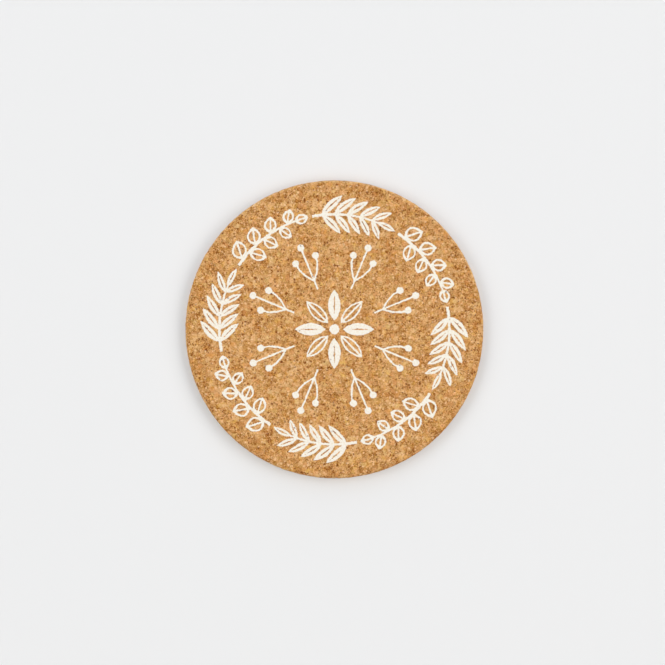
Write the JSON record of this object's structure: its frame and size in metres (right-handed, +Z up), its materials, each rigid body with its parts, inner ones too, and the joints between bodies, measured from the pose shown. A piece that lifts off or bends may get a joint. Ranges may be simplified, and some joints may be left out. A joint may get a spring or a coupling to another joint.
{
  "type": "cork coaster",
  "caption": "Flat round cork coaster with eased edges and a white printed wreath of leaves and berries, laid on a table under a cup or glass.",
  "frame": {"origin": "centre of the disc's flat underside, which lies on the table", "axes": "+Z up along the disc's axis, from the underside to the printed top; +Y points to the top edge of the picture"},
  "size_m": [0.1, 0.1, 0.0041],
  "materials": {
    "cork": "matte",
    "white_ink": "matte"
  },
  "bodies": {
    "root": {"cork_disc": "cork", "ink_berry_twig_1": "white_ink", "ink_berry_twig_2": "white_ink", "ink_berry_twig_3": "white_ink", "ink_berry_twig_4": "white_ink", "ink_berry_twig_5": "white_ink", "ink_berry_twig_6": "white_ink", "ink_berry_twig_7": "white_ink", "ink_berry_twig_8": "white_ink", "ink_centre_dot_1": "white_ink", "ink_laurel_sprig_1": "white_ink", "ink_laurel_sprig_2": "white_ink", "ink_laurel_sprig_3": "white_ink", "ink_laurel_sprig_4": "white_ink", "ink_rosette_drawn_leaf_1": "white_ink", "ink_rosette_drawn_leaf_2": "white_ink", "ink_rosette_drawn_leaf_3": "white_ink", "ink_rosette_drawn_leaf_4": "white_ink", "ink_rosette_filled_leaf_1": "white_ink", "ink_rosette_filled_leaf_2": "white_ink", "ink_rosette_filled_leaf_3": "white_ink", "ink_rosette_filled_leaf_4": "white_ink", "ink_round_leaf_sprig_1": "white_ink", "ink_round_leaf_sprig_2": "white_ink", "ink_round_leaf_sprig_3": "white_ink", "ink_round_leaf_sprig_4": "white_ink"}
  },
  "joints": []
}
